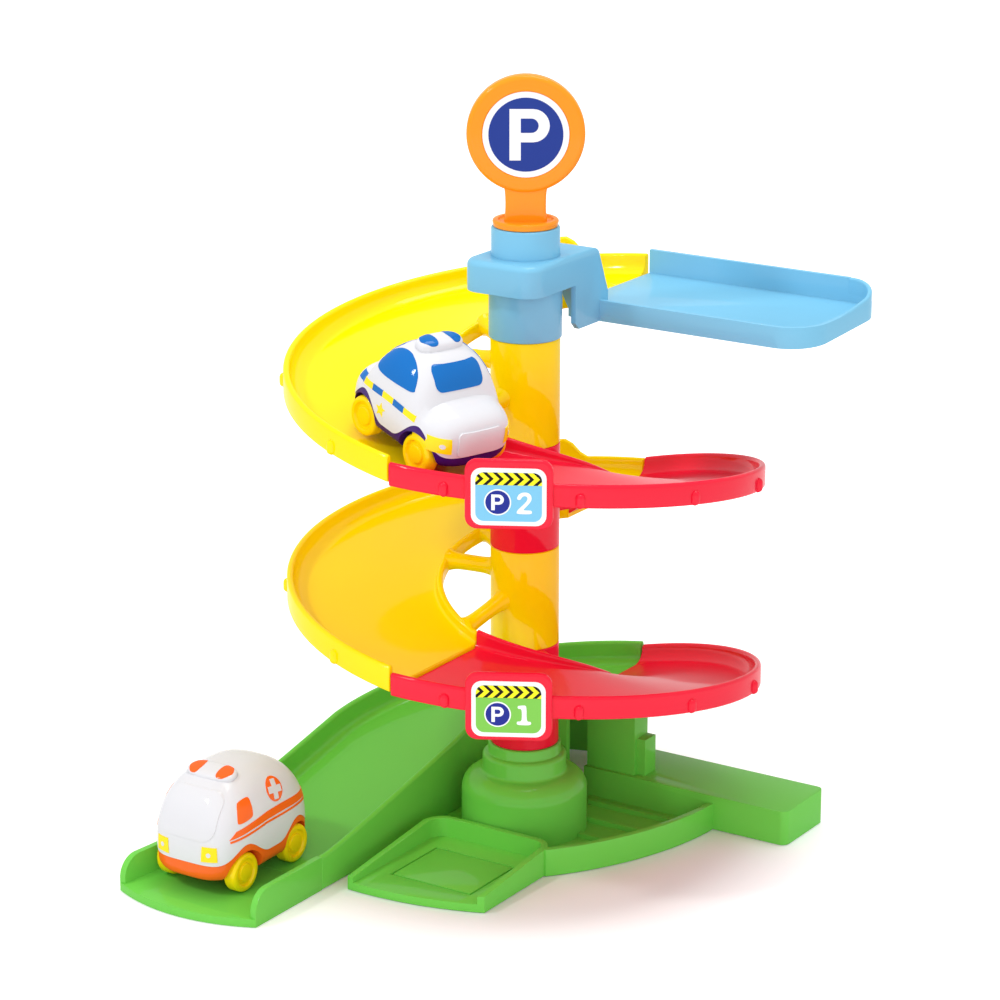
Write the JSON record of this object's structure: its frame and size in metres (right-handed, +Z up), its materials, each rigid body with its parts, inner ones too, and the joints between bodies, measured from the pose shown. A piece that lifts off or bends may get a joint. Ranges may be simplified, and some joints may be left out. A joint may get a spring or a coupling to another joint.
{
  "type": "toy spiral car ramp",
  "caption": "Toy car tower: spiral lanes and parking decks wind down a plug-together column from a swinging launch platform to an exit ramp, with a turning sign and small rolling cars.",
  "frame": {"origin": "on the ground under the column's axis, in the underside of the base floor", "axes": "+Z up along the column, the exit ramp runs towards -Y and the launch platform towards +X"},
  "size_m": [0.319, 0.369, 0.475],
  "materials": {
    "green": "glossy injection-moulded green plastic",
    "red": "glossy injection-moulded red plastic",
    "yellow": "glossy injection-moulded yellow plastic",
    "blue": "glossy injection-moulded light blue plastic",
    "orange": "glossy injection-moulded orange plastic",
    "label": "printed self-adhesive film",
    "white": "glossy white plastic",
    "purple": "glossy dark purple plastic",
    "tangerine": "glossy orange-red plastic",
    "lens_blue": "glossy blue plastic",
    "wheel": "glossy yellow plastic",
    "steel": "bright drawn steel"
  },
  "bodies": {
    "tower": {"base_tray": "green", "column_boss": "green", "base_screws": "steel", "ramp_tower": "green", "exit_ramp": "green", "exit_apron": "green", "deck_1": "red", "deck_1_label": "label", "lower_spiral": "yellow", "deck_2": "red", "deck_2_label": "label", "upper_spiral": "yellow", "hub": "blue"},
    "platform": {"launch_platform": "blue"},
    "sign": {"sign_post": "orange", "sign_label_front": "label", "sign_label_back": "label"},
    "patrol_car": {"patrol_shell": "white", "patrol_chassis": "purple", "patrol_beacon": "lens_blue", "patrol_screws": "steel"},
    "patrol_front": {"patrol_front_axle": "steel", "patrol_front_wheels": "wheel"},
    "patrol_rear": {"patrol_rear_axle": "steel", "patrol_rear_wheels": "wheel"},
    "van": {"van_shell": "white", "van_chassis": "tangerine", "van_beacon": "tangerine", "van_screws": "steel"},
    "van_front": {"van_front_axle": "steel", "van_front_wheels": "wheel"},
    "van_rear": {"van_rear_axle": "steel", "van_rear_wheels": "wheel"}
  },
  "joints": [
    {"name": "platform_swing", "type": "hinge", "parent": "tower", "child": "platform", "pos_m": [0, 0, 0.3484], "axis": [0, 0, 1], "range_deg": [-90, 0]},
    {"name": "sign_turn", "type": "hinge", "parent": "tower", "child": "sign", "pos_m": [0, 0, 0.3849], "axis": [0, 0, 1], "continuous": true},
    {"name": "patrol_lift", "type": "slide", "parent": "tower", "child": "patrol_car", "axis": [0, 0, 1], "range_m": [0, 0.15]},
    {"name": "patrol_front_spin", "type": "hinge", "parent": "patrol_car", "child": "patrol_front", "pos_m": [0.01591, -0.10033, 0.27574], "axis": [0.304, 0.9527, 0], "continuous": true},
    {"name": "patrol_rear_spin", "type": "hinge", "parent": "patrol_car", "child": "patrol_rear", "pos_m": [-0.03023, -0.0856, 0.28818], "axis": [0.304, 0.9527, 0], "continuous": true},
    {"name": "van_roll", "type": "slide", "parent": "tower", "child": "van", "axis": [0, -1, 0], "range_m": [0, 0.1]},
    {"name": "van_front_spin", "type": "hinge", "parent": "van", "child": "van_front", "pos_m": [-0.108, -0.18229, 0.0175], "axis": [1, 0, 0], "continuous": true},
    {"name": "van_rear_spin", "type": "hinge", "parent": "van", "child": "van_rear", "pos_m": [-0.108, -0.13231, 0.01875], "axis": [1, 0, 0], "continuous": true}
  ],
  "couplings": [
    {"joint": "van_front_spin", "follows": "van_roll", "rad_per_m": 83.333},
    {"joint": "van_rear_spin", "follows": "van_roll", "rad_per_m": 83.333}
  ]
}
